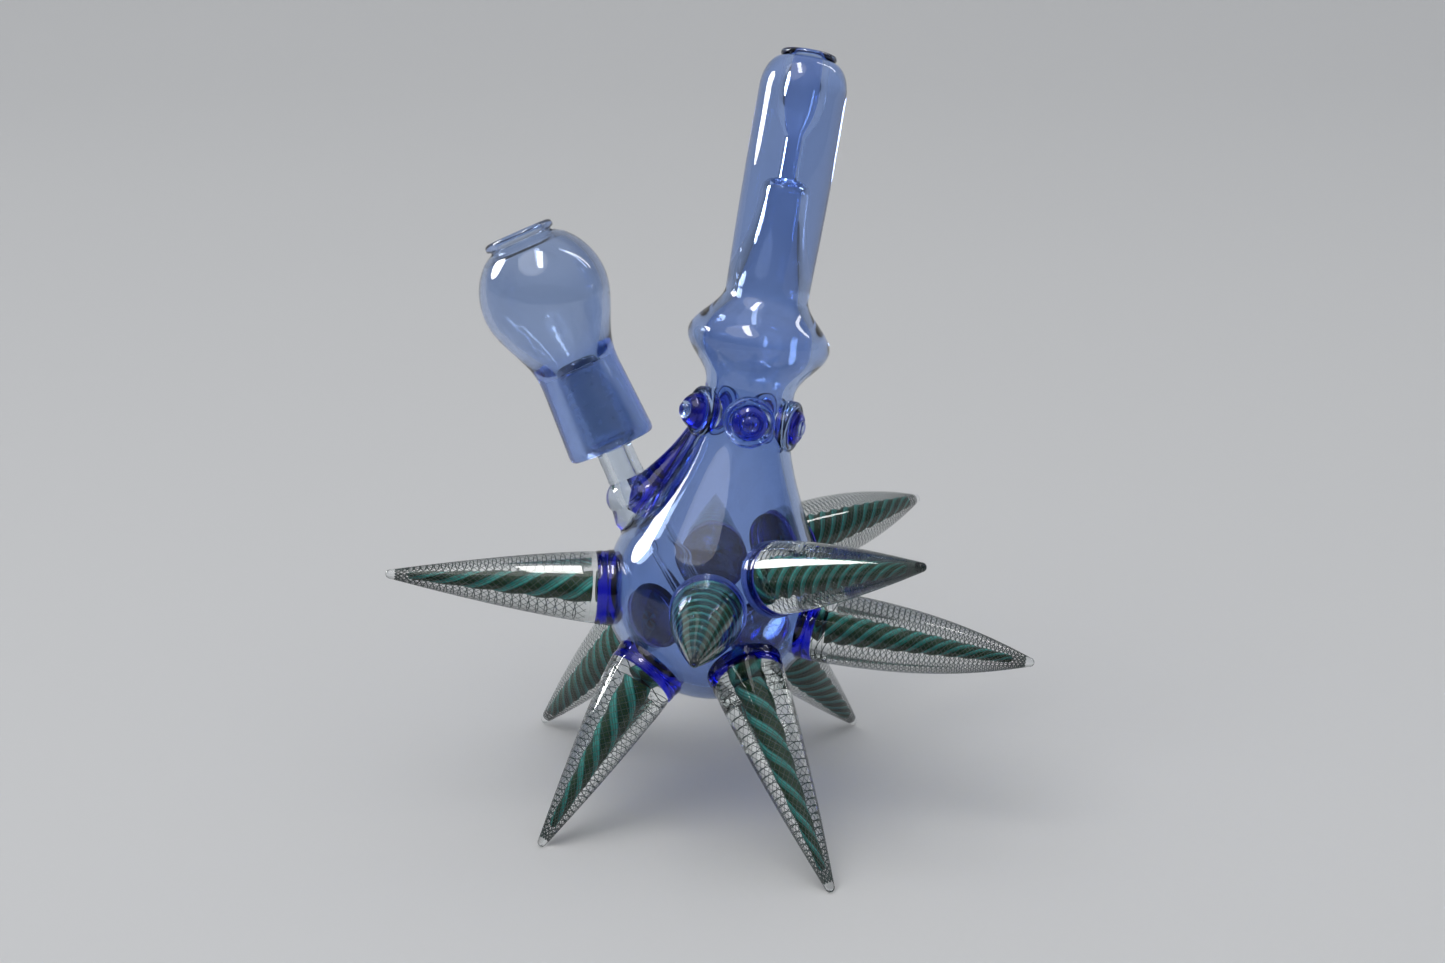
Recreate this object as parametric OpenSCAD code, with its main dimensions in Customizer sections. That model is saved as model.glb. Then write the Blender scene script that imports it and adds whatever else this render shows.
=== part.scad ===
// Blown-glass water pipe: a pear-shaped vessel that stands on four of its ten pointed glass
// spikes, a leaning neck with a ring of eye marbles, a bent mouthpiece, and a glass dome that
// lifts off a ground joint. Millimetres, +Z up, origin on the table under the ball's centre.

/* [Node] */
// Piece to draw, or all of them

/* [Vessel] */
// Height of the ball's centre above the table
ball_z = 56.8; // [50:0.1:65]
// Outer radius of the ball
ball_r = 28.3; // [22:0.1:36]
// Wall thickness of the ball, the shoulder and the neck
wall = 3; // [2:0.1:4]
// Lean of the vessel's axis from upright, in degrees
lean = 14.8; // [0:0.1:30]
// Compass direction of that lean
lean_az = 46.9; // [0:0.1:360]
// Outer radius of the neck
neck_r = 11.6; // [9:0.1:15]
// Outer radius of the swollen ring on the neck
swell_r = 18.5; // [14:0.1:24]
// Distance of that ring from the ball's centre
swell_s = 66; // [60:0.1:75]

/* [Mouthpiece] */
// Outer radius of the mouthpiece tube just above the swollen ring
tube_low_r = 10.8; // [9:0.1:14]
// Outer radius of the mouthpiece tube from the bend on
tube_r = 11.3; // [9:0.1:14]
// Angle of the bend, in degrees
bend_angle = 8; // [0:1:40]
// Distance of the bend from the ball's centre
bend_s = 108; // [95:1:120]
// Radius of the bend along the tube's centre
bend_r = 60; // [28:1:80]
// Length of the straight part above the bend
upper_len = 24.5; // [18:0.5:40]
// Radius of the bore at the lips
mouth_bore_r = 3.8; // [2:0.1:6]
// Radius of the pinched bore inside the bend
pinch_r = 1.8; // [1:0.1:4]

/* [Marbles] */
// Distance of the ring of eye marbles from the ball's centre
marble_s = 46; // [42:0.5:50]
// Radius of a marble's disc
marble_r = 6.6; // [4:0.1:8]
// Turn of each marble about the neck
marble_az = [-86, -20, 55, 129, -156];
// Height of each marble's lens above its disc
marble_rise = [3.6, 2.8, 3.4, 3.2, 5];

/* [Spikes] */
// Radius of a spike at its collar
spike_r = 9.3; // [6:0.1:11]
// Radius of the blunt tip
tip_r = 1.2; // [0.4:0.1:2]
// Distance of a collar's outer face from the ball's centre
collar_s = 31.2; // [30:0.1:34]
// Radius of the coloured cane at the collar
cane_r = 3; // [1:0.1:6]
// Length of a free spike from the ball's centre to its tip
spike_len = 85; // [60:0.5:110]

/* [Joint] */
// Tilt of the joint and the dome from upright
joint_tilt = 26.8; // [0:0.1:60]
// Compass direction of that tilt
joint_az = 153.9; // [0:0.1:360]
// Centre of the dome's lower end, across and away
dome_xy = [-26.2, 11.5];
// Height of the dome's lower end
dome_z = 92.1; // [80:0.1:110]
// Large end radius of the ground taper, as on a 14 mm joint
ground_r = 7.25; // [7:0.05:9.5]
// Length of the ground taper
ground_len = 20; // [14:0.5:24]
// Gap between the ground tapers, on the radius
running_gap = 0.05; // [0.01:0.01:0.1]
// Radius of the joint's bore
joint_bore_r = 4; // [2:0.1:5]

/* [Dome] */
// Length of the dome along its axis
dome_len = 61; // [45:0.5:75]
// Outer radius of the dome's bulb
dome_r = 16.95; // [12:0.05:24]
// Distance of the widest ring from the dome's lower end
dome_wide_s = 43.3; // [30:0.1:50]
// Outer radius of the dome's mouth flange
flange_r = 9.4; // [7:0.1:12]
// Radius of the dome's mouth
mouth_r = 6.6; // [4:0.1:8]

/* [Hidden] */
taper = 0.05;                // change of radius per millimetre of a 1:10 ground taper
ball_end = 12;               // where the ball passes into the shoulder
shoulder_end = 47;           // where the shoulder passes into the neck
body_top = 38;               // joint faces along the vessel's axis
neck_top = 57;
swell_top = 76;
swell_half = 12.5;
bend_rise = bend_r * sin(bend_angle);
bend_shift = bend_r * (1 - cos(bend_angle));
lip_len = 10.5;
upper_bore_r = 4.2;
lower_bore_r = 4;
sleeve_top = 24;             // joint faces along the dome's axis
flange_s = 58.6;
dome_wall = 2;
bulb_drop = 13.2;            // clear bulb below the dome's lower end
bulb_r = 7.5;
bulb_half = 5.8;
chamber_r = 3.2;
weld_r = 7.2;
weld_at = [-13, 9, 83.2];    // middle of the weld, from the origin
stem_r = 4.8;
stem_bore_r = 2.4;
ground_start = 2.5;
down_r = 4;
down_bore_r = 2.6;
down_len = 43;
down_tilt = 34.6;
down_az = 151.9;
deg_full = 180;
steps = 14;
marble_face = 13.7;          // outer face of a marble's disc from the neck's axis
cane_tip_r = 0.5;
fine = 96;

// Where each spike's collar sits on the ball: compass direction and rise above level. The feet
// come first, front left, front right, back left and back right.
spike_names = ["foot_front_left", "foot_front_right", "foot_back_left", "foot_back_right",
  "spike_left", "spike_right", "spike_upper_back", "spike_upper_right", "spike_front", "spike_back"];
collar_az = [-139.6, -69.7, 138, 50, -173, -22, 48, -52.5, -93.2, 91];
collar_rise = [-37.1, -30.9, -31, -41, 4, -10, 10, 22, 7.8, -1];
// Compass direction of each tip from the ball's centre, and how the free tips rise above level.
tip_az = [-141.5, -65, 135, 50, -175, -13, 48, -51, -93, 91];
free_rise = [4.8, -8.8, 3, 19.6, 8.3, -1];
foot_len = [80, 89, 88.3, 83.1];
// How full each spike is: 1 is a straight cone, 2 is a leaf.
fullness = [1.1, 1.15, 1.3, 1.3, 1.2, 2, 1.9, 1.3, 1.2, 1.2];

function compass(az, rise) = [cos(rise) * cos(az), cos(rise) * sin(az), sin(rise)];
feet = len(foot_len);
spikes = len(spike_names);
spike_index = [for (i = [0:spikes - 1]) i];
centre = [0, 0, ball_z];
base_at = [for (i = spike_index) centre + collar_s * compass(collar_az[i], collar_rise[i])];
// A foot's tip rests on the table, the others stand at their own rise.
tip_at = [for (i = spike_index) centre + (i < feet
  ? (foot_len[i] - tip_r) * compass(tip_az[i], -asin((ball_z - tip_r) / (foot_len[i] - tip_r)))
  : (spike_len - tip_r) * compass(tip_az[i], free_rise[i - feet]))];
spike_span = [for (i = spike_index) norm(tip_at[i] - base_at[i])];
marbles = len(marble_az);

cobalt = [0.16, 0.26, 0.72, 0.6];
cornflower = [0.36, 0.5, 0.85, 0.5];
clear = [0.92, 0.95, 0.97, 0.3];
teal = [0.1, 0.35, 0.33];

// ---- outlines by formula ----

// A smooth rise and fall, 1 at x = 0 and 0 from x = 1 on.
function bump(x) = abs(x) < 1 ? (1 + cos(deg_full * x)) / 2 : 0;

// A cubic from r0 to r1 over the span, with the slope at each end.
function blend(u, span, r0, slope0, r1, slope1) =
  r0 * (2 * u^3 - 3 * u^2 + 1) + slope0 * span * (u^3 - 2 * u^2 + u)
  + r1 * (3 * u^2 - 2 * u^3) + slope1 * span * (u^3 - u^2);

// Outer radius of the shoulder, the neck and the swell at distance s from the ball's centre.
function shoulder_r(s) =
  let (span = shoulder_end - ball_end, r0 = sqrt(ball_r^2 - ball_end^2))
  blend((s - ball_end) / span, span, r0, -ball_end / r0, neck_r, -0.1);

function vessel_r(s) =
  (s < shoulder_end ? shoulder_r(s) : s < swell_s ? neck_r : tube_low_r)
  + (swell_r - (s < swell_s ? neck_r : tube_low_r)) * bump((s - swell_s) / swell_half);

// Outer radius of the dome at distance s from its lower end.
function dome_outer(s) =
  s < dome_wide_s
    ? let (waist = 10.75 + 0.05 * max(0, 20 - s))
      waist + (dome_r - waist) * bump((dome_wide_s - s) / 21.5)
    : dome_r * sqrt(1 - ((s - dome_wide_s) / 17.74)^2);

// Radius of the ground socket in the dome's sleeve.
function socket_r(s) = ground_r + running_gap - taper * (s - ground_start);

function span_points(a, b, n) = [for (i = [0:n]) a + (b - a) * i / n];

// Outer radius of a spike at the fraction u of the way from collar to tip.
function spike_outer(u, full) = tip_r + (spike_r - tip_r) * (1 - u^full);

// ---- places ----

module aim(tilt, az) {
  rotate([0, tilt, az]) children();
}

module at_ball() {
  translate([0, 0, ball_z]) children();
}

// Z along the vessel's axis from the ball's centre, with no turn about it.
module along_vessel() {
  at_ball() aim(lean, lean_az) rotate([0, 0, -lean_az]) children();
}

// Z along the straight part above the bend.
module above_bend() {
  along_vessel()
    translate([0, bend_shift, bend_s + bend_rise])
      rotate([-bend_angle, 0, 0]) children();
}

// Z along the joint and the dome, from the dome's lower end.
module along_joint() {
  translate([dome_xy[0], dome_xy[1], dome_z]) aim(joint_tilt, joint_az) children();
}

// Z up along the downstem, from the centre of the clear bulb.
module along_downstem() {
  down = [cos(joint_az), sin(joint_az)] * sin(joint_tilt) * bulb_drop;
  translate([dome_xy[0] - down[0], dome_xy[1] - down[1], dome_z - cos(joint_tilt) * bulb_drop])
    aim(down_tilt, down_az) children();
}

// Z out from the ball's centre through collar i.
module along_collar(i) {
  at_ball() aim(90 - collar_rise[i], collar_az[i]) children();
}

// Z from the outer face of collar i to the centre of the tip's rounding.
module along_spike(i) {
  run = tip_at[i] - base_at[i];
  translate(base_at[i]) aim(acos(run[2] / norm(run)), atan2(run[1], run[0])) children();
}

// What a spike may not fill, up to the outer face of its collar.
module under_collar(i) {
  along_collar(i) translate([0, 0, collar_s - 20]) cylinder(h = 20, r = 2 * spike_r, $fn = fine);
}

// Z out from the neck's axis through marble i.
module along_marble(i) {
  along_vessel() translate([0, 0, marble_s])
    rotate([0, 0, marble_az[i - 1]])
      rotate([0, 90, 0]) children();
}

module revolve(points) {
  rotate_extrude($fn = fine) polygon(points);
}

// ---- vessel ----

// The filled outer shape of the ball and of the shoulder up to the height given.
module shoulder_form(top, inset) {
  start = ball_end - 4;
  sphere(r = ball_r - inset, $fn = fine);
  revolve(concat([[0, start]], [[sqrt(ball_r^2 - start^2) - inset - 0.5, start]],
    [for (s = span_points(ball_end, top, steps)) [vessel_r(s) - inset, s]], [[0, top]]));
}

// What every piece welded to the vessel is cut by.
module vessel_form() {
  along_vessel() shoulder_form(neck_top, 0);
}

// A hollow stretch of the vessel between two heights.
module stretch(low, high) {
  revolve(concat(
    [for (s = span_points(low, high, steps)) [vessel_r(s), s]],
    [for (s = span_points(high, low, steps)) [vessel_r(s) - wall, s]]));
}

module vessel_body() {
  color(cornflower) difference() {
    along_vessel() shoulder_form(body_top, 0);
    along_vessel() shoulder_form(body_top + 2, wall);
    along_downstem() translate([0, 0, -down_len]) cylinder(h = down_len, r = down_r, $fn = fine);
  }
}

module neck() {
  color(cornflower) along_vessel() stretch(body_top, neck_top);
}

module neck_swell() {
  color(cornflower) along_vessel() stretch(neck_top, swell_top);
}

module mouthpiece_lower() {
  wide = vessel_r(swell_top) - wall;
  color(cornflower) along_vessel() revolve(concat(
    [for (s = span_points(swell_top, swell_s + swell_half, 3)) [vessel_r(s), s]],
    [[tube_r, bend_s], [pinch_r, bend_s], [lower_bore_r * 0.8, bend_s - 1.5], [lower_bore_r, bend_s - 4],
     [lower_bore_r, 92], [wide - 1, 82], [wide, swell_top]]));
}

module mouthpiece_bend() {
  color(cornflower) along_vessel() translate([0, bend_r, bend_s])
    rotate([90, 0, -90]) rotate_extrude(angle = bend_angle, $fn = 2 * fine)
      translate([bend_r, 0]) difference() {
        circle(r = tube_r, $fn = fine);
        circle(r = pinch_r, $fn = fine);
      }
}

module mouthpiece_upper() {
  top = upper_len - lip_len;
  color(cornflower) above_bend() revolve([
    [pinch_r, 0], [tube_r, 0], [tube_r, top], [upper_bore_r, top], [upper_bore_r, 7], [pinch_r, 2]]);
}

// The tube rounds in to a short throat under a thin rolled flange.
module mouthpiece_lip() {
  low = upper_len - lip_len;
  throat = 6.4;
  throat_s = upper_len - 1.9;
  color(cobalt) above_bend() difference() {
    revolve(concat([[0, low]],
      [for (a = span_points(0, 90, 9)) [throat + (tube_r - throat) * cos(a), low + (throat_s - low) * sin(a)]],
      [[7, upper_len - 1.5], [7.2, upper_len - 0.8], [6.8, upper_len], [0, upper_len]]));
    revolve([[0, low - 1], [upper_bore_r, low - 1], [upper_bore_r, low + 1], [mouth_bore_r, low + 2],
      [mouth_bore_r, upper_len - 0.6], [mouth_bore_r + 0.6, upper_len + 0.1], [0, upper_len + 0.1]]);
  }
}

// ---- eye marbles ----

module marble_disc(i) {
  color(cobalt) difference() {
    along_marble(i) revolve([[0, 8], [marble_r, 8], [marble_r, marble_face - 0.9],
      [marble_r - 0.9, marble_face], [0, marble_face]]);
    vessel_form();
  }
}

// A low lens with a pupil standing on it.
module marble_eye(i) {
  lens = marble_r - 0.9;
  rise = marble_rise[i - 1];
  brow = 0.55 * rise;
  color(cornflower) along_marble(i) translate([0, 0, marble_face]) revolve(concat(
    [[0, 0]], [for (a = span_points(0, 60, 5)) [lens * cos(a), brow * sin(a) / sin(60)]],
    [[2.4, 0.65 * rise], [2.1, 0.85 * rise], [1.1, rise], [0, rise]]));
}

// ---- spikes ----

module spike_collar(i) {
  color(cobalt) difference() {
    along_collar(i) revolve([[0, 20], [spike_r + 0.6, 20], [spike_r + 0.6, 26.6], [spike_r + 0.1, 28.2],
      [spike_r, 30.4], [spike_r - 0.6, collar_s], [0, collar_s]]);
    vessel_form();
  }
}

module spike_casing(i) {
  tip = spike_span[i];
  cane_end = tip - 5;
  color(clear) difference() {
    along_spike(i) revolve(concat(
      [[cane_r, -6], [spike_r - 0.3, -6]],
      [for (u = span_points(0, 1, 10)) [spike_outer(u, fullness[i]) - (u == 0 ? 0.3 : 0), u * tip]],
      [for (a = span_points(30, 75, 2)) [tip_r * cos(a), tip + tip_r * sin(a)]],
      [[0, tip + tip_r], [0, cane_end], [cane_tip_r, cane_end], [cane_r, 0]]));
    under_collar(i);
  }
}

module spike_cane(i) {
  color(teal) difference() {
    along_spike(i)
      revolve([[0, -6], [cane_r, -6], [cane_r, 0], [cane_tip_r, spike_span[i] - 5], [0, spike_span[i] - 5]]);
    under_collar(i);
  }
}

// ---- joint ----

function bulb_points() = concat([[0, -bulb_half]],
  [for (a = span_points(-75, 75, 12)) [bulb_r * cos(a), bulb_half * sin(a)]], [[0, bulb_half]]);

// The clear bulb as a filled form, centred on the joint's axis.
module bulb_form() {
  along_joint() translate([0, 0, -bulb_drop]) revolve(bulb_points());
}

// Blue glass gathered round the foot of the clear bulb and up the shoulder.
module joint_weld() {
  color(cobalt) difference() {
    union() {
      along_joint() translate([0, 0, -bulb_drop])
        revolve([[0, -10], [9.4, -10], [8.6, -5], [7.2, -2.6], [0, -2.6]]);
      translate(weld_at) sphere(r = weld_r, $fn = fine);
    }
    vessel_form();
    bulb_form();
    along_joint() translate([0, 0, -bulb_drop]) cylinder(h = bulb_drop, r = stem_r, $fn = fine);
  }
}

// The two bores meet in a small round chamber.
module joint_bulb() {
  color(clear) difference() {
    bulb_form();
    vessel_form();
    along_joint() translate([0, 0, -bulb_drop]) {
      sphere(r = chamber_r, $fn = fine);
      cylinder(h = bulb_half + 1, r = stem_bore_r, $fn = fine);
    }
    along_downstem() translate([0, 0, -down_len]) cylinder(h = down_len, r = down_bore_r, $fn = fine);
  }
}

module joint_stem() {
  color(clear) difference() {
    along_joint() translate([0, 0, -10]) cylinder(h = 10, r = stem_r, $fn = fine);
    bulb_form();
    along_joint() translate([0, 0, -11]) cylinder(h = 12, r = stem_bore_r, $fn = fine);
  }
}

module ground_joint() {
  top = ground_start + ground_len;
  tip = ground_r - taper * ground_len;
  color(clear) along_joint() revolve([
    [stem_bore_r, 0], [stem_r, 0], [ground_r - 0.2, ground_start - 0.2], [ground_r, ground_start],
    [tip, top], [joint_bore_r, top], [joint_bore_r, ground_start], [stem_bore_r, 1]]);
}

module downstem() {
  color(clear) difference() {
    intersection() {
      along_downstem() translate([0, 0, -down_len]) cylinder(h = down_len, r = down_r, $fn = fine);
      vessel_form();
    }
    along_downstem() translate([0, 0, -down_len - 1]) cylinder(h = down_len + 2, r = down_bore_r, $fn = fine);
  }
}

// ---- dome ----

module dome_sleeve() {
  color(cobalt) along_joint() revolve(concat(
    [[socket_r(0.8), 0.8], [socket_r(0) + 0.8, 0], [dome_outer(0) - 1.2, 0], [dome_outer(0) - 0.3, 0.5]],
    [for (s = span_points(1.5, sleeve_top, 8)) [dome_outer(s), s]],
    [[socket_r(sleeve_top), sleeve_top]]));
}

module dome_bulb() {
  lead = sleeve_top + 3;
  color(cornflower) along_joint() revolve(concat(
    [for (s = span_points(sleeve_top, flange_s, 18)) [dome_outer(s), s]],
    [for (s = span_points(flange_s - 2, lead, 16)) [dome_outer(s) - dome_wall, s]],
    [[socket_r(sleeve_top), sleeve_top]]));
}

module dome_flange() {
  base = flange_s;
  color(cobalt) along_joint() difference() {
    revolve(concat([[0, base - 2]],
      [[dome_outer(base - 2) - dome_wall, base - 2], [dome_outer(base), base]],
      [[flange_r - 0.3, base + 0.4], [flange_r, base + 0.9], [flange_r - 0.2, base + 1.5],
       [flange_r - 0.8, dome_len], [0, dome_len]]));
    revolve([[0, base - 3], [mouth_r, base - 3], [mouth_r, dome_len - 0.6],
      [mouth_r + 0.6, dome_len + 0.1], [0, dome_len + 0.1]]);
  }
}

// ---- drawing ----

vessel_body();
neck();
neck_swell();
mouthpiece_lower();
mouthpiece_bend();
mouthpiece_upper();
mouthpiece_lip();
for (i = [1:marbles]) {
  marble_disc(i);
  marble_eye(i);
}
for (i = spike_index) {
  spike_collar(i);
  spike_casing(i);
  spike_cane(i);
}
joint_weld();
joint_bulb();
joint_stem();
ground_joint();
downstem();
dome_sleeve();
dome_bulb();
dome_flange();
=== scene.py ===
"""Blown-glass water pipe in blue borosilicate, in its CAD frame: camera, studio, then glass."""
from math import acos, cos, log, pi, radians, sin, sqrt, tau

import bmesh
import bpy
from mathutils import Matrix, Vector


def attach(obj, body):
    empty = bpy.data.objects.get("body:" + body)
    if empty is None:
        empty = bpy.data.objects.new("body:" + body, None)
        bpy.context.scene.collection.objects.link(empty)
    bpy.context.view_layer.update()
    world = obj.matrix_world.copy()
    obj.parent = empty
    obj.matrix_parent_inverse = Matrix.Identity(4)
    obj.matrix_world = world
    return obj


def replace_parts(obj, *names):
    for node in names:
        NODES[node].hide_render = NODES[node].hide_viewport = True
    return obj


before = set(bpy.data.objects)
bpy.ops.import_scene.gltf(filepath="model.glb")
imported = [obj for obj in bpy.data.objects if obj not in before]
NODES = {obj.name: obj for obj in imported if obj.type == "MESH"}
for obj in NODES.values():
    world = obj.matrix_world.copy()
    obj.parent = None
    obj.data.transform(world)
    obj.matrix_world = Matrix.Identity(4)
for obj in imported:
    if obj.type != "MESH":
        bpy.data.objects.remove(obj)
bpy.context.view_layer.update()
scene = bpy.context.scene

# ---- driving sizes, in millimetres and degrees ----
MM = 0.001
BALL_Z, BALL_R, WALL = 56.8, 28.3, 3.0
LEAN, LEAN_AZ = 14.8, 46.9
NECK_R, SWELL_R, SWELL_S, SWELL_HALF = 11.6, 18.5, 66.0, 12.5
BALL_END, SHOULDER_END = 12.0, 47.0
TUBE_LOW_R, TUBE_R = 10.8, 11.3
BEND_S, BEND_R, BEND_ANGLE = 108.0, 60.0, 8.0
SPIKE_R, TIP_R, COLLAR_S = 9.3, 1.2, 31.2
JOINT_TILT, JOINT_AZ = 26.8, 153.9
DOME_FOOT = (-26.2, 11.5, 92.1)
DOME_R, DOME_WIDE_S = 16.95, 43.3
GROUND_R, GROUND_LEN, GROUND_START = 7.25, 20.0, 2.5
BULB_DROP, BULB_R, BULB_HALF = 13.2, 7.5, 5.8
DOWN_TILT, DOWN_AZ, DOWN_LEN = 34.6, 151.9, 43.0
MARBLE_R, MARBLE_FACE = 6.6, 13.7
GAP = 0.02          # hairline between separately modelled glass, so that no two faces coincide
AROUND = 112        # points round a large piece of glass


# ---- frames ----

def turn(tilt, compass):
    """Rotation that tips +Z by tilt towards a compass direction."""
    return Matrix.Rotation(radians(compass), 4, "Z") @ Matrix.Rotation(radians(tilt), 4, "Y")


def shift(x, y, z):
    return Matrix.Translation((x, y, z))


BALL = Vector((0, 0, BALL_Z))
VESSEL = shift(*BALL) @ turn(LEAN, LEAN_AZ) @ Matrix.Rotation(radians(-LEAN_AZ), 4, "Z")
JOINT = shift(*DOME_FOOT) @ turn(JOINT_TILT, JOINT_AZ)
BULB = JOINT @ shift(0, 0, -BULB_DROP)
DOWNSTEM = shift(*BULB.translation) @ turn(DOWN_TILT, DOWN_AZ)
BEND_LEN = BEND_R * radians(BEND_ANGLE)


def vessel_place(s):
    """The vessel's own frame at distance s along its bent axis, in millimetres."""
    bent = min(max((s - BEND_S) / BEND_R, 0), radians(BEND_ANGLE))
    at_bend = shift(0, BEND_R * (1 - cos(bent)), min(s, BEND_S) + BEND_R * sin(bent))
    beyond = max(s - BEND_S - BEND_LEN, 0)
    return VESSEL @ at_bend @ Matrix.Rotation(-bent, 4, "X") @ shift(0, 0, beyond)


def frame_on(origin, direction):
    """A frame at origin whose Z points along direction."""
    return shift(*origin) @ direction.to_track_quat("Z", "Y").to_matrix().to_4x4()


def corners(node):
    """The corner points of a CAD node, in millimetres."""
    return [v.co / MM for v in NODES[node].data.vertices]


# ---- outlines ----

def bump(x):
    return (1 + cos(pi * x)) / 2 if abs(x) < 1 else 0


def span(a, b, n):
    return [a + (b - a) * i / n for i in range(n + 1)]


def ease(points, n=6):
    """More points between the given ones, on a curve that passes through them all."""
    out = []
    for i in range(len(points) - 1):
        before, here = points[max(i - 1, 0)], points[i]
        there, after = points[i + 1], points[min(i + 2, len(points) - 1)]
        for k in range(n):
            u = k / n
            out.append(tuple(
                0.5 * (2 * q + (r - p) * u + (2 * p - 5 * q + 4 * r - t) * u * u
                       + (3 * q - p - 3 * r + t) * u ** 3)
                for p, q, r, t in zip(before, here, there, after)))
    return out + [tuple(points[-1])]


def vessel_r(s):
    """Outer radius of the ball, shoulder, neck, swollen ring and lower mouthpiece."""
    if s < BALL_END:
        return sqrt(max(BALL_R ** 2 - s ** 2, 0))
    low = NECK_R if s < SWELL_S else TUBE_LOW_R
    if s < SHOULDER_END:
        length, start = SHOULDER_END - BALL_END, sqrt(BALL_R ** 2 - BALL_END ** 2)
        u = (s - BALL_END) / length
        return (start * (2 * u ** 3 - 3 * u ** 2 + 1)
                - BALL_END / start * length * (u ** 3 - 2 * u ** 2 + u)
                + NECK_R * (3 * u ** 2 - 2 * u ** 3) - 0.1 * length * (u ** 3 - u ** 2))
    return low + (SWELL_R - low) * bump((s - SWELL_S) / SWELL_HALF)


def dome_r(s):
    """Outer radius of the dome at distance s from its lower end."""
    if s < DOME_WIDE_S:
        waist = 10.75 + 0.05 * max(0, 20 - s)
        return waist + (DOME_R - waist) * bump((DOME_WIDE_S - s) / 21.5)
    return DOME_R * sqrt(1 - ((s - DOME_WIDE_S) / 17.74) ** 2)


def arc(cx, cz, rx, rz, start, end, n):
    """Points on an ellipse in the outline's plane, from one angle to another."""
    return [(cx + rx * cos(radians(a)), cz + rz * sin(radians(a))) for a in span(start, end, n)]


# ---- mesh ----

def mesh_object(name, bm, material):
    bmesh.ops.remove_doubles(bm, verts=bm.verts, dist=1e-6)
    bmesh.ops.recalc_face_normals(bm, faces=bm.faces)
    data = bpy.data.meshes.new(name)
    bm.to_mesh(data)
    bm.free()
    data.shade_smooth()
    data.materials.append(material)
    piece = bpy.data.objects.new(name, data)
    scene.collection.objects.link(piece)
    return piece


def skin(name, rings, material):
    """One closed mesh over rings of points in metres. A ring of one point is a pole."""
    bm = bmesh.new()
    rows = [[bm.verts.new(p) for p in ring] for ring in rings]
    for a, b in zip(rows, rows[1:]):
        n = max(len(a), len(b))
        for i in range(n):
            j = (i + 1) % n
            if len(a) == 1:
                bm.faces.new((a[0], b[j], b[i]))
            elif len(b) == 1:
                bm.faces.new((a[i], a[j], b[0]))
            else:
                bm.faces.new((a[i], a[j], b[j], b[i]))
    return mesh_object(name, bm, material)


def ring(place, r, around, lobe=lambda angle: 0):
    """A ring of radius r round the frame's Z, in metres."""
    if r < 1e-4:
        return [place.translation * MM]
    return [place @ Vector(((r + lobe(tau * i / around)) * cos(tau * i / around),
                            (r + lobe(tau * i / around)) * sin(tau * i / around), 0)) * MM
            for i in range(around)]


def turned(name, outline, place, material, around=AROUND):
    """A turned piece: outline is a run of (radius, height), place maps a height to its frame."""
    return skin(name, [ring(place(z), r, around) for r, z in outline], material)


def along(place):
    """Heights along a straight frame."""
    return lambda z: place @ shift(0, 0, z)


def cut(piece, cutter):
    """Takes the cutter's form out of a piece."""
    modifier = piece.modifiers.new("cut", "BOOLEAN")
    modifier.operation, modifier.solver, modifier.object = "DIFFERENCE", "EXACT", cutter
    bpy.context.view_layer.update()
    evaluated = piece.evaluated_get(bpy.context.evaluated_depsgraph_get())
    data = bpy.data.meshes.new_from_object(evaluated)
    piece.modifiers.clear()
    old, piece.data = piece.data, data
    bpy.data.meshes.remove(old)
    return piece


def soften_edges(piece, angle=35):
    """Smooth shading that keeps real edges crisp."""
    piece.data.shade_smooth()
    piece.data.set_sharp_from_angle(angle=radians(angle))
    return piece


# ---- materials ----

def socket_names(bsdf, **values):
    for name, value in values.items():
        bsdf.inputs[name.replace("_", " ")].default_value = value


class Material:
    """A node material whose nodes are made and linked in one line each."""

    def __init__(self, name):
        self.material = bpy.data.materials.new(name)
        self.material.use_nodes = True
        self.tree = self.material.node_tree
        self.bsdf = self.tree.nodes["Principled BSDF"]
        self.output = self.tree.nodes["Material Output"]

    def node(self, kind, links=(), **settings):
        made = self.tree.nodes.new(kind)
        for key, value in settings.items():
            setattr(made, key, value)
        for name, source in dict(links).items():
            target = made.inputs[name]
            if isinstance(source, bpy.types.NodeSocket):
                self.tree.links.new(source, target)
            else:
                target.default_value = source
        return made.outputs[0]

    def link(self, source, target):
        self.tree.links.new(source, self.bsdf.inputs[target])

    def math(self, operation, a, b=0.0):
        return self.node("ShaderNodeMath", {0: a, 1: b}, operation=operation)

    def ramp(self, factor, stops):
        made = self.tree.nodes.new("ShaderNodeValToRGB")
        elements = made.color_ramp.elements
        while len(elements) < len(stops):
            elements.new(0.5)
        for element, (at, colour) in zip(elements, stops):
            element.position = at
            element.color = (*colour, 1)
        self.tree.links.new(factor, made.inputs[0])
        return made.outputs[0]

    def mix(self, factor, a, b):
        made = self.tree.nodes.new("ShaderNodeMix")
        made.data_type = "RGBA"
        self.tree.links.new(factor, made.inputs[0])
        self.tree.links.new(a, made.inputs[6])
        made.inputs[7].default_value = (*b, 1)
        return made.outputs[2]

    def object_coordinates(self):
        return self.tree.nodes.new("ShaderNodeTexCoord").outputs["Object"]

    def noise(self, scale, detail=2.0, where=None):
        links = {"Scale": scale, "Detail": detail}
        if where is not None:
            links["Vector"] = where
        return self.node("ShaderNodeTexNoise", links)


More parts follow.
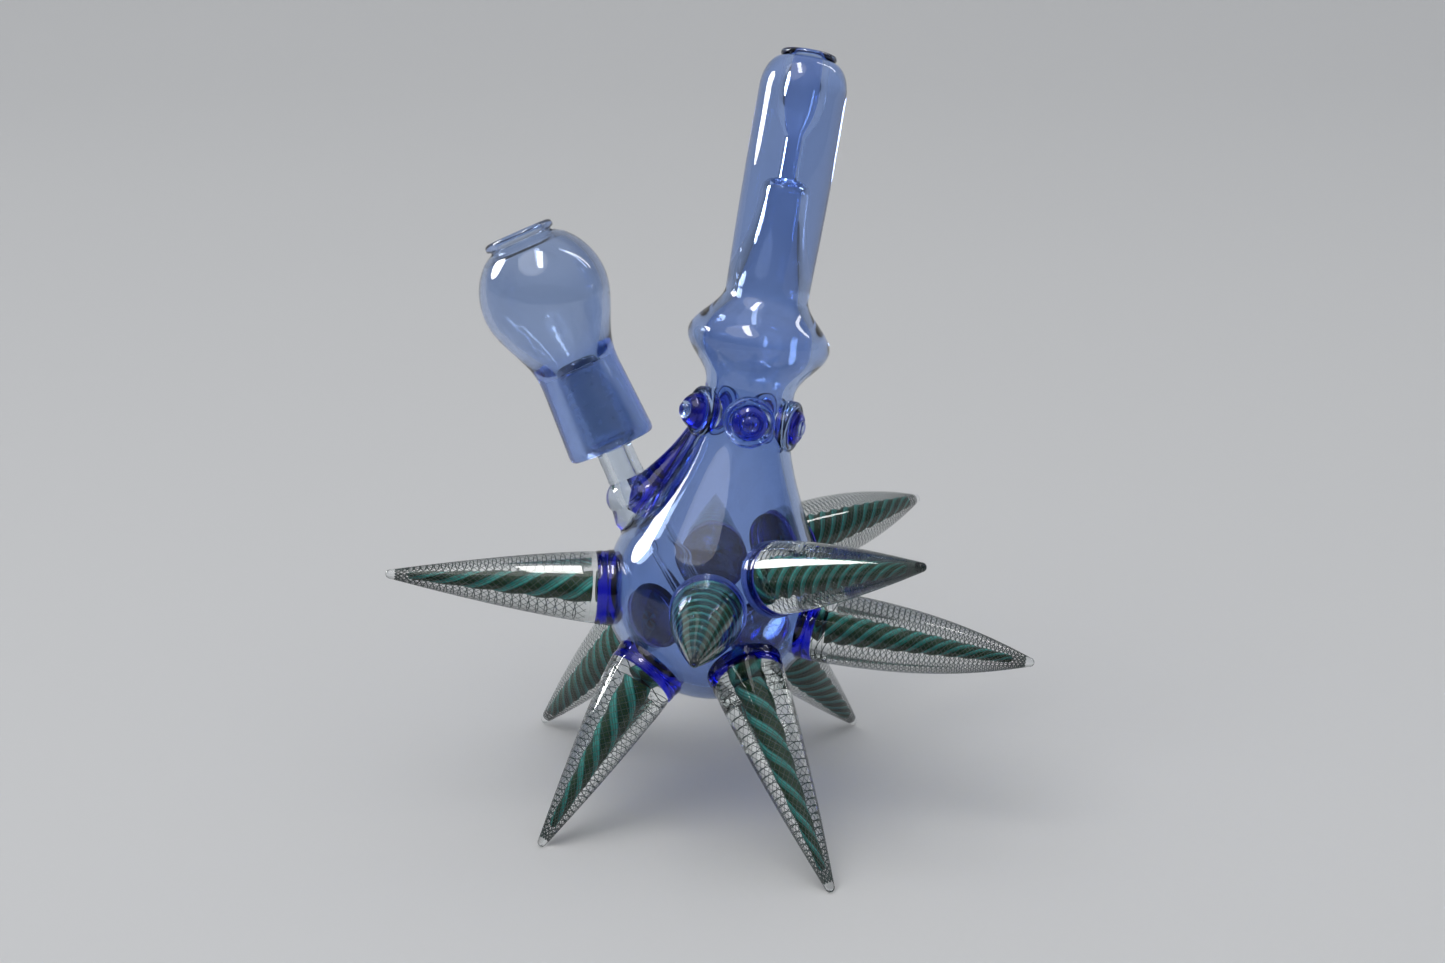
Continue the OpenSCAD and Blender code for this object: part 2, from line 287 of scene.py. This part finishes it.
def glass(name, absorbs, tint):
    """Clear or coloured glass. absorbs is what a metre of it takes from red, green and blue."""
    m = Material(name)
    socket_names(m.bsdf, Transmission_Weight=1.0, IOR=1.472, Base_Color=(*tint, 1))
    place = m.object_coordinates()
    # drawn glass is not quite even: slow ripples on its surface, and a haze that comes and goes
    waves = m.noise(160, 1.0, place)
    fine = m.noise(900, 2.0, place)
    height = m.math("ADD", waves, m.math("MULTIPLY", fine, 0.08))
    bumped = m.node("ShaderNodeBump", {"Strength": 0.02, "Distance": 0.001, "Height": height})
    m.link(bumped, "Normal")
    m.link(m.math("MULTIPLY", fine, 0.03), "Roughness")
    density = max(absorbs) * 1.1
    volume = m.tree.nodes.new("ShaderNodeVolumeAbsorption")
    volume.inputs["Color"].default_value = (*[1 - a / density for a in absorbs], 1)
    volume.inputs["Density"].default_value = density
    m.tree.links.new(volume.outputs[0], m.output.inputs["Volume"])
    return m.material


def ground_glass(name, tint):
    """A ground face: part of the light scatters in its fine grain, and the rest goes through."""
    m = Material(name)
    socket_names(m.bsdf, Transmission_Weight=0.72, IOR=1.472)
    where = m.object_coordinates()
    grain = m.noise(6000, 3.0, where)
    shade = [c * 0.9 for c in tint]
    m.link(m.ramp(m.noise(500, 3.0, where), [(0.3, shade), (0.7, tint)]), "Base Color")
    m.link(m.math("ADD", m.math("MULTIPLY", grain, 0.12), 0.13), "Roughness")
    m.link(m.node("ShaderNodeBump", {"Strength": 0.1, "Distance": 0.0002, "Height": grain}), "Normal")
    return m.material


def cane_glass(name, strands, lead, start):
    """Twisted cane: teal ribbons of fine lines between dark green bands with an olive hatch."""
    m = Material(name)
    where = m.object_coordinates()
    m.node("ShaderNodeSeparateXYZ", {0: where})
    x, y, z = m.tree.nodes[-1].outputs
    wobble = m.math("MULTIPLY", m.noise(70, 1.0, where), 0.12)
    around = m.math("DIVIDE", m.math("ARCTAN2", y, x), tau)
    height = m.math("DIVIDE", z, lead * MM)

    def helix(count, hand, steepness):
        twist = m.math("MULTIPLY", height, hand * steepness)
        at = m.math("ADD", m.math("ADD", around, twist), wobble)
        return m.math("FRACT", m.math("MULTIPLY", at, count))

    phase = m.math("FRACT", m.math("ADD", helix(strands, 1, 1), start))
    colour = m.ramp(phase, [
        (0.0, (0.006, 0.045, 0.034)), (0.06, (0.035, 0.26, 0.235)), (0.13, (0.105, 0.47, 0.43)),
        (0.19, (0.02, 0.17, 0.15)), (0.25, (0.075, 0.38, 0.35)), (0.31, (0.02, 0.15, 0.13)),
        (0.38, (0.045, 0.27, 0.245)), (0.46, (0.006, 0.045, 0.034)), (1.0, (0.005, 0.038, 0.027))])
    dark_band = m.math("GREATER_THAN", phase, 0.47)
    hatch = m.math("MAXIMUM", m.math("GREATER_THAN", helix(5 * strands, 1, 2.3), 0.80),
                   m.math("GREATER_THAN", helix(5 * strands, -1, 1.6), 0.80))
    colour = m.mix(m.math("MULTIPLY", dark_band, hatch), colour, (0.035, 0.062, 0.014))
    m.link(colour, "Base Color")
    ridges = m.math("SINE", m.math("MULTIPLY", phase, tau))
    m.link(m.node("ShaderNodeBump", {"Strength": 0.3, "Distance": 0.0003, "Height": ridges}), "Normal")
    socket_names(m.bsdf, Roughness=0.45, Specular_IOR_Level=0.1)
    return m.material


def thread_glass():
    """The fine dark green stringer of the nets."""
    m = Material("net_thread")
    tone = m.ramp(m.noise(700), [(0.3, (0.03, 0.05, 0.048)), (0.75, (0.07, 0.11, 0.10))])
    m.link(tone, "Base Color")
    socket_names(m.bsdf, Roughness=0.3)
    return m.material


BLUE = glass("blue_borosilicate", (22, 15, 2), tint=(0.48, 0.60, 0.86))
PALE_BLUE = glass("pale_blue_borosilicate", (60, 42, 4), tint=(0.66, 0.74, 0.87))
COBALT = glass("cobalt_borosilicate", (230, 215, 28), tint=(0.72, 0.74, 0.95))
EYE = glass("eye_borosilicate", (420, 400, 70), tint=(0.50, 0.52, 0.90))
CLEAR = glass("clear_borosilicate", (3, 1.5, 2), tint=(0.99, 1, 1))
LENS = glass("lens_borosilicate", (40, 26, 4), tint=(0.72, 0.82, 0.98))
STEM = glass("stem_borosilicate", (14, 9, 3), tint=(0.88, 0.92, 0.97))
GROUND = ground_glass("ground_borosilicate", (0.86, 0.90, 0.95))
GROUND_BLUE = ground_glass("ground_blue", (0.66, 0.84, 1.0))
THREAD = thread_glass()


# ---- camera and studio ----

def make_camera():
    """Where the reference picture was taken from: level 18 degrees down, from the front."""
    elevation, distance, focal = radians(18), 800, 3077
    away = Vector((0, cos(elevation), -sin(elevation)))
    up = Vector((0, sin(elevation), cos(elevation)))
    across = Vector((1, 0, 0))
    aside, above = -8.5 / focal * distance, -108.5 / focal * distance
    eye = BALL - away * distance - across * aside - up * above
    data = bpy.data.cameras.new("camera")
    data.sensor_width, data.lens = 36, focal * 36 / 1445
    data.clip_start, data.clip_end = 0.02, 20
    camera = bpy.data.objects.new("camera", data)
    camera.matrix_world = shift(*(eye * MM)) @ away.to_track_quat("-Z", "Y").to_matrix().to_4x4()
    scene.collection.objects.link(camera)
    scene.camera = camera


def softbox(name, direction, distance, width, height, power, shape="RECTANGLE", lights_floor=False):
    """A soft light that faces the ball from the given direction. Most of them only glint."""
    data = bpy.data.lights.new(name, "AREA")
    data.shape, data.size, data.size_y, data.energy = shape, width, height, power
    data.color = (1.0, 0.985, 0.96)
    light = bpy.data.objects.new(name, data)
    light.visible_diffuse = lights_floor
    towards = Vector(direction).normalized()
    level = towards.cross(Vector((0, 1, 0) if towards.z > 0.9 else (0, 0, -1))).normalized()
    axes = Matrix((level, towards.cross(level), towards)).transposed()
    light.matrix_world = shift(*(BALL * MM + towards * distance)) @ axes.to_4x4()
    scene.collection.objects.link(light)


def make_studio():
    m = Material("paper")
    tone = m.ramp(m.noise(3.0, 3.0), [(0.3, (0.70, 0.70, 0.70)), (0.7, (0.73, 0.73, 0.725))])
    m.link(tone, "Base Color")
    socket_names(m.bsdf, Roughness=1.0, Specular_IOR_Level=0.0)
    # a sweep of paper: flat under the glass, then up behind it
    bend, depth, high, wide = 0.9, 1.0, 2.4, 3.2
    run = [(-2.4, 0.0), (depth, 0.0)]
    run += [(depth + bend * sin(a), bend * (1 - cos(a))) for a in span(0.0, pi / 2, 24)[1:]]
    run += [(depth + bend, high)]
    bm = bmesh.new()
    rows = [[bm.verts.new((x, y, z)) for x in (-wide, wide)] for y, z in run]
    for a, b in zip(rows, rows[1:]):
        bm.faces.new((a[0], a[1], b[1], b[0]))
    paper = mesh_object("paper_sweep", bm, m.material)

    softbox("softbox_left", (-0.83, 0.30, 0.42), 0.95, 0.34, 0.42, 7.5, "ELLIPSE")
    softbox("softbox_over", (-0.105, -0.229, 0.968), 0.95, 0.13, 0.5, 4)
    softbox("softbox_right", (0.60, 0.36, 0.70), 0.95, 0.06, 0.6, 1.2)
    softbox("ceiling", (-0.3, -0.35, 1.0), 1.9, 1.6, 1.6, 12, "DISK", lights_floor=True)

    # the room is dim at eye level and pale overhead, which gives the glass its darker edges
    world = bpy.data.worlds.new("studio")
    world.use_nodes = True
    nodes, links = world.node_tree.nodes, world.node_tree.links
    split, shade = nodes.new("ShaderNodeSeparateXYZ"), nodes.new("ShaderNodeValToRGB")
    links.new(nodes.new("ShaderNodeTexCoord").outputs["Generated"], split.inputs[0])
    links.new(split.outputs["Z"], shade.inputs[0])
    shade.color_ramp.elements[0].position, shade.color_ramp.elements[1].position = 0.30, 0.75
    shade.color_ramp.elements[0].color = (0.17, 0.18, 0.20, 1)
    shade.color_ramp.elements[1].color = (0.92, 0.95, 1.0, 1)
    links.new(shade.outputs[0], nodes["Background"].inputs["Color"])
    nodes["Background"].inputs["Strength"].default_value = 0.75
    scene.world = world
    scene.view_settings.view_transform = "Standard"
    scene.cycles.transmission_bounces = 28
    scene.cycles.max_bounces = 32
    scene.cycles.transparent_max_bounces = 16


# ---- vessel ----

def vessel_outline():
    """Outer wall from the ball's foot up, over the lip, and down the bore again."""
    lip = BEND_S + BEND_LEN
    outer = [(BALL_R * sin(a), -BALL_R * cos(a)) for a in span(0.0, acos(-BALL_END / BALL_R), 44)]
    outer += [(vessel_r(s), s) for s in span(BALL_END, SWELL_S + SWELL_HALF, 72)[1:]]
    outer += ease([(TUBE_LOW_R, SWELL_S + SWELL_HALF), (TUBE_R - 0.15, 95), (TUBE_R, BEND_S),
                   (TUBE_R, lip), (TUBE_R, lip + 14)], 6)[1:]
    outer += arc(6.4, lip + 14, TUBE_R - 6.4, 8.6, 0, 90, 14)[1:]
    outer += ease([(6.3, lip + 22.65), (6.8, lip + 22.75), (7.2, lip + 23.2), (7.2, lip + 23.8),
                   (6.75, lip + 24.35), (5.6, lip + 24.5), (4.4, lip + 24.3), (3.8, lip + 23.6)], 4)
    inner = ease([(3.8, lip + 22), (4.0, lip + 17.5), (4.3, lip + 14), (4.1, lip + 10),
                  (3.5, lip + 6.8), (2.6, lip + 4.2), (1.95, lip + 2.4), (1.8, lip + 0.6),
                  (1.8, BEND_S + 1), (2.1, BEND_S + 0.1), (3.3, BEND_S - 0.6), (4.2, BEND_S - 2.4),
                  (4.4, BEND_S - 7), (4.7, 97), (5.5, 92), (6.6, 87), (7.5, 83), (7.9, 80.5)], 4)
    inner += [(8.0, 79)]
    inner += [(vessel_r(s) - WALL - 1.6 * bump((s - SWELL_S) / 12), s)
              for s in span(SWELL_S + 10.5, BALL_END, 56)]
    hollow = BALL_R - WALL
    inner += [(hollow * sin(a), -hollow * cos(a)) for a in span(acos(-BALL_END / hollow), 0.0, 36)[1:]]
    return outer + inner


def filled_vessel(gap):
    """The vessel's outside as a filled form, a little larger, to cut what is welded to it."""
    outline = [((BALL_R + gap) * sin(a), -(BALL_R + gap) * cos(a))
               for a in span(0.0, acos(-BALL_END / BALL_R), 40)]
    outline += [(vessel_r(s) + gap, s) for s in span(BALL_END, 57, 50)[1:]] + [(0, 57)]
    return turned("vessel_form", outline, along(VESSEL), CLEAR, 96)


def rod(r, low, high, place):
    return turned("rod", [(0, low), (r, low), (r, high), (0, high)], along(place), CLEAR, 48)


def make_vessel():
    piece = turned("vessel_glass", vessel_outline(), vessel_place, BLUE)
    hole = rod(4.0 + GAP, -DOWN_LEN / 2, 4, DOWNSTEM)
    cut(piece, hole)
    bpy.data.objects.remove(hole)
    soften_edges(piece, 50)
    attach(piece, "vessel")
    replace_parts(piece, "vessel_body", "neck", "neck_swell", "mouthpiece_lower",
                "mouthpiece_bend", "mouthpiece_upper", "mouthpiece_lip")


# ---- eye marbles ----

def make_marbles(form):
    for i in range(1, 6):
        middle = sum(corners(f"marble_eye_{i}"), Vector()) / len(corners(f"marble_eye_{i}"))
        up = VESSEL.to_3x3() @ Vector((0, 0, 1))
        foot = BALL + up * (middle - BALL).dot(up)
        place = frame_on(foot, middle - foot)
        rise = max((p - foot).dot((middle - foot).normalized()) for p in corners(f"marble_eye_{i}"))
        rise -= MARBLE_FACE
        skin_r = MARBLE_R - 0.9
        outline = [(0, 9), (MARBLE_R, 9), (MARBLE_R, MARBLE_FACE - 0.9)]
        outline += arc(skin_r, MARBLE_FACE - 0.9, 0.9, 1.1, 0, 90, 6)[1:]
        outline += ease([(5.25, MARBLE_FACE + 0.15), (4.9, MARBLE_FACE - 0.1),
                         (4.7, MARBLE_FACE - 0.3)], 4)
        outline += [(0, MARBLE_FACE - 0.3)]
        disc = turned(f"marble_disc_glass_{i}", outline, along(place), LENS, 64)
        cut(disc, form)
        soften_edges(disc)
        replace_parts(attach(disc, "vessel"), f"marble_disc_{i}")
        top = along(place @ shift(0, 0, MARBLE_FACE - 0.3 + GAP))
        seat = 0.62 * rise
        iris = [(0, 0), (4.65, 0)]
        iris += ease([(4.7, 0.3), (4.35, 0.42 * rise), (3.6, seat), (3.15, 0.70 * rise),
                      (2.95, 0.66 * rise), (2.6, seat), (0, seat)], 5)
        eye = turned(f"marble_eye_glass_{i}", iris, top, EYE, 64)
        soften_edges(eye, 50)
        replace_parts(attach(eye, "vessel"), f"marble_eye_{i}")
        nub = [(0, seat + GAP)] + ease([(1.9, seat + GAP), (2.25, 0.72 * rise), (2.0, 0.88 * rise),
                                        (1.2, 1.0 * rise), (0, 1.04 * rise)], 5)
        pupil = turned(f"marble_pupil_glass_{i}", nub, top, LENS, 48)
        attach(soften_edges(pupil, 50), "vessel")


# ---- spikes ----

def read_spike(name):
    """Where a spike stands and how full it is, from its CAD solids."""
    cane, casing = corners(name + "_cane"), corners(name + "_casing")
    tip = max(casing, key=lambda p: (p - BALL).length)
    furthest = max((p - tip).length for p in cane)
    foot = [p for p in cane if (p - tip).length > furthest - 4]
    base = sum(foot, Vector()) / len(foot)
    base = BALL + (base - BALL).normalized() * COLLAR_S
    axis = (tip - base).normalized()
    length = (tip - base).length - TIP_R
    half = max(((p - base) - axis * (p - base).dot(axis)).length for p in casing
               if abs((p - base).dot(axis) / length - 0.5) < 0.04)
    full = log(1 - (half - TIP_R) / (SPIKE_R - TIP_R)) / log(0.5)
    return base, axis, length, full


def casing_rings(place, length, full, normal):
    """Rings of a spike's skin from the collar's plane to the blunt tip."""
    inward = place.inverted().to_3x3() @ normal
    rings = []
    for u in [v ** 1.15 for v in span(0.0, 1.0, 36)]:
        r = TIP_R + (SPIKE_R - TIP_R) * (1 - u ** full)
        circle = []
        for k in range(72):
            p = Vector((r * cos(tau * k / 72), r * sin(tau * k / 72), u * length))
            on_plane = -(p.x * inward.x + p.y * inward.y) / inward.z + GAP
            p.z += on_plane * max(0, 1 - u / 0.22)
            circle.append(place @ p * MM)
        rings.append(circle)
    for a in span(0, 90, 6)[1:-1]:
        at = place @ shift(0, 0, length + TIP_R * sin(radians(a)))
        rings.append(ring(at, TIP_R * cos(radians(a)), 72))
    rings.append([place @ Vector((0, 0, length + TIP_R)) * MM])
    start = [place @ Vector((0, 0, GAP)) * MM]
    return [start] + rings


def make_net(name, place, length, full, threads, turns):
    """Two hands of fine threads that cross just under the casing's skin."""
    curve = bpy.data.curves.new(name, "CURVE")
    curve.dimensions, curve.bevel_depth, curve.bevel_resolution = "3D", 0.07 * MM, 1
    for hand in (-1, 1):
        for k in range(threads):
            spline = curve.splines.new("POLY")
            stations = span(0.015, 0.95, 64)
            spline.points.add(len(stations) - 1)
            for point, u in zip(spline.points, stations):
                r = TIP_R + (SPIKE_R - TIP_R) * (1 - u ** full) - 0.7
                turned_by = tau * (k / threads + hand * turns * u * (1 + 0.35 * u))
                at = place @ Vector((r * cos(turned_by), r * sin(turned_by), 1.4 + u * length)) * MM
                point.co = (*at, 1)
    piece = bpy.data.objects.new(name, curve)
    curve.materials.append(THREAD)
    scene.collection.objects.link(piece)
    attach(piece, "vessel")


def make_cane(name, place, length, strands, lead, start):
    """A cane of fused strands, lobed and twisted, that thins towards the tip."""
    around, end = 48, length - 5
    rings = []
    for z in span(0.6, end, 110):
        u = z / end
        r = 2.75 - 2.1 * u ** 1.2
        spin = tau * z / lead
        rings.append(ring(shift(0, 0, z), r, around,
                          lambda a: 0.07 * r * cos(strands * (a + spin))))
    rings = [[Vector((0, 0, 0.6 * MM))]] + rings + [[Vector((0, 0, (end + 0.4) * MM))]]
    piece = skin(name + "_cane_strands", rings, cane_glass(name + "_cane_glass", strands, lead, start))
    scaled = place.copy()
    scaled.translation = place.translation * MM
    piece.matrix_world = scaled
    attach(piece, "vessel")
    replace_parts(piece, name + "_cane")


def make_spikes(form):
    names = sorted(n[:-7] for n in NODES if n.endswith("_casing"))
    for index, name in enumerate(names):
        base, axis, length, full = read_spike(name)
        place = frame_on(base, axis)
        normal = (base - BALL).normalized()
        collar_place = frame_on(BALL, normal)
        outline = [(0, 22), (SPIKE_R + 0.6, 22), (SPIKE_R + 0.6, 26.6)]
        outline += ease([(SPIKE_R + 0.5, 27.6), (SPIKE_R + 0.25, 28.8), (SPIKE_R + 0.3, 29.8),
                         (SPIKE_R + 0.2, 30.6), (SPIKE_R, COLLAR_S - GAP)], 4)
        outline += [(0, COLLAR_S - GAP)]
        collar = turned(name + "_collar_glass", outline, along(collar_place), COBALT, 80)
        cut(collar, form)
        soften_edges(collar, 45)
        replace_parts(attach(collar, "vessel"), name + "_collar")

        casing = skin(name + "_casing_glass", casing_rings(place, length, full, normal), CLEAR)
        soften_edges(casing, 50)
        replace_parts(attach(casing, "vessel"), name + "_casing")

        loose = name in ("foot_front_left", "foot_front_right", "spike_left")
        make_net(name + "_net", place, length, full, 22 if loose else 28, 0.9 if loose else 1.1)
        strands, lead = (3, 25) if loose else (2, 10) if name == "spike_front" else (4, 18)
        make_cane(name, place, length, strands, lead, index / 10)


# ---- joint ----

def make_joint(form):
    lower = -BULB_DROP
    outline = [(0, lower - 11)] + ease([(3.0, lower - 10.8), (6.2, lower - 9.0), (7.6, lower - 5.5)], 4)
    outline += arc(0, lower, BULB_R, BULB_HALF, -20, 50, 16)
    outline += ease([(4.95, lower + 5.1), (4.8, lower + 6.6), (4.8, -3), (4.9, -0.4),
                     (5.9, 1.0), (7.0, 2.2), (GROUND_R, 3.0)], 4)
    top = GROUND_START + GROUND_LEN
    tip = GROUND_R - 0.05 * GROUND_LEN
    outline += [(GROUND_R - 0.05 * (s - GROUND_START), s) for s in span(3.2, top - 1.2, 16)]
    outline += ease([(tip - 0.1, top - 0.6), (tip - 0.8, top), (4.8, top), (4.1, top - 0.8)], 4)
    outline += ease([(4.0, top - 2), (4.0, 5), (3.7, 2.6), (2.7, 0.8), (2.4, -1.5), (2.4, lower + 5),
                     (2.9, lower + 2), (3.1, lower), (2.5, lower - 2), (0, lower - 3.2)], 4)
    piece = turned("joint_glass", outline, along(JOINT), STEM, 80)
    piece.data.materials.append(GROUND)
    for face in piece.data.polygons:
        at = JOINT.inverted() @ (face.center / MM)
        if 3.0 < at.z < top - 0.7 and Vector((at.x, at.y)).length > 5.5:
            face.material_index = 1
    cut(piece, form)
    soften_edges(piece, 50)
    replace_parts(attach(piece, "vessel"), "joint_bulb", "joint_stem", "ground_joint")

    tube = [(2.6, -DOWN_LEN + 0.4), (3.0, -DOWN_LEN), (3.6, -DOWN_LEN), (4.0, -DOWN_LEN + 0.5)]
    tube += [(4.0, z) for z in span(-DOWN_LEN + 2, -6.2, 12)] + [(2.6, -6.2)]
    tube += [(2.6, z) for z in span(-8, -DOWN_LEN + 2, 12)] + [(2.6, -DOWN_LEN + 0.4)]
    stem = turned("downstem_glass", tube, along(DOWNSTEM), CLEAR, 56)
    soften_edges(stem, 50)
    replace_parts(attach(stem, "vessel"), "downstem")


def make_weld(form):
    """Cobalt glass gathered round the bulb's foot and drawn up the shoulder."""
    bm = bmesh.new()
    bmesh.ops.create_icosphere(bm, subdivisions=4, radius=7.6 * MM,
                               matrix=shift(*(BULB @ Vector((0, 0, -9.6)) * MM)))
    # it starts beside the stem and thins as it runs up the shoulder towards the marbles
    for s in span(20.5, 43, 12):
        u = (s - 20.5) / 22.5
        r = 6.6 - 4.8 * u ** 0.7
        out = vessel_r(s) + 2.2 * (1 - u) ** 1.5 - 0.35 * r
        for compass in (156 + 10 * u, 167 + 3 * u, 175 - 2 * u):
            angle = radians(compass)
            at = VESSEL @ Vector((out * cos(angle), out * sin(angle), s))
            bmesh.ops.create_icosphere(bm, subdivisions=4, radius=r * MM, matrix=shift(*(at * MM)))
    piece = mesh_object("joint_weld_glass", bm, EYE)
    remesh = piece.modifiers.new("gather", "REMESH")
    remesh.mode, remesh.voxel_size, remesh.use_smooth_shade = "VOXEL", 0.45 * MM, True
    smooth = piece.modifiers.new("flow", "SMOOTH")
    smooth.iterations, smooth.factor = 24, 0.6
    outline = [(0, -12), (6.5, -9.2), (7.6 + GAP, -5.5)]
    outline += arc(0, 0, BULB_R + GAP, BULB_HALF + GAP, -20, 50, 16)
    outline += [(4.95 + GAP, 5.2), (4.8 + GAP, 6.6), (4.8 + GAP, 12), (0, 12)]
    bulb = turned("bulb_form", outline, along(BULB), CLEAR, 64)
    cut(cut(piece, bulb), form)
    bpy.data.objects.remove(bulb)
    soften_edges(piece, 40)
    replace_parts(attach(piece, "vessel"), "joint_weld")


# ---- dome ----

def make_dome():
    sleeve = [(GROUND_R + 0.05 - 0.05 * (s - GROUND_START), s) for s in span(22.5, 1.0, 16)]
    outline = sleeve + ease([(8.1, 0.25), (8.9, 0.0), (10.3, 0.05), (11.1, 0.35), (11.55, 1.0)], 4)
    outline += [(dome_r(s), s) for s in span(2, 56.5, 70)]
    outline += ease([(9.5, 57.7), (8.4, 58.3), (8.55, 58.7), (9.15, 58.9), (9.4, 59.6), (9.25, 60.4),
                     (8.6, 60.9), (7.6, 61.0), (6.8, 60.6), (6.6, 59.8)], 4)
    outline += ease([(6.75, 58.6), (7.4, 57.5), (8.8, 56.2)], 4)
    outline += [(dome_r(s) - 2, s) for s in span(55.2, 39, 28)]
    outline += ease([(14.06, 38), (13.15, 36), (11.9, 33.4), (10.3, 30.4), (8.8, 27.6), (7.5, 25.2),
                     (6.7, 23.6), (6.28, 22.5)], 4)
    piece = turned("dome_glass", outline, along(JOINT), PALE_BLUE)
    piece.data.materials.append(GROUND_BLUE)
    for face in piece.data.polygons:
        at = JOINT.inverted() @ (face.center / MM)
        if 1.5 < at.z < 22.4 and Vector((at.x, at.y)).length < 8.2:
            face.material_index = 1
    soften_edges(piece, 50)
    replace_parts(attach(piece, "dome"), "dome_sleeve", "dome_bulb", "dome_flange")


make_camera()
make_studio()
vessel_form = filled_vessel(GAP)
make_vessel()
make_marbles(vessel_form)
make_spikes(vessel_form)
make_joint(vessel_form)
make_weld(vessel_form)
make_dome()
bpy.data.objects.remove(vessel_form)

bpy.context.view_layer.update()
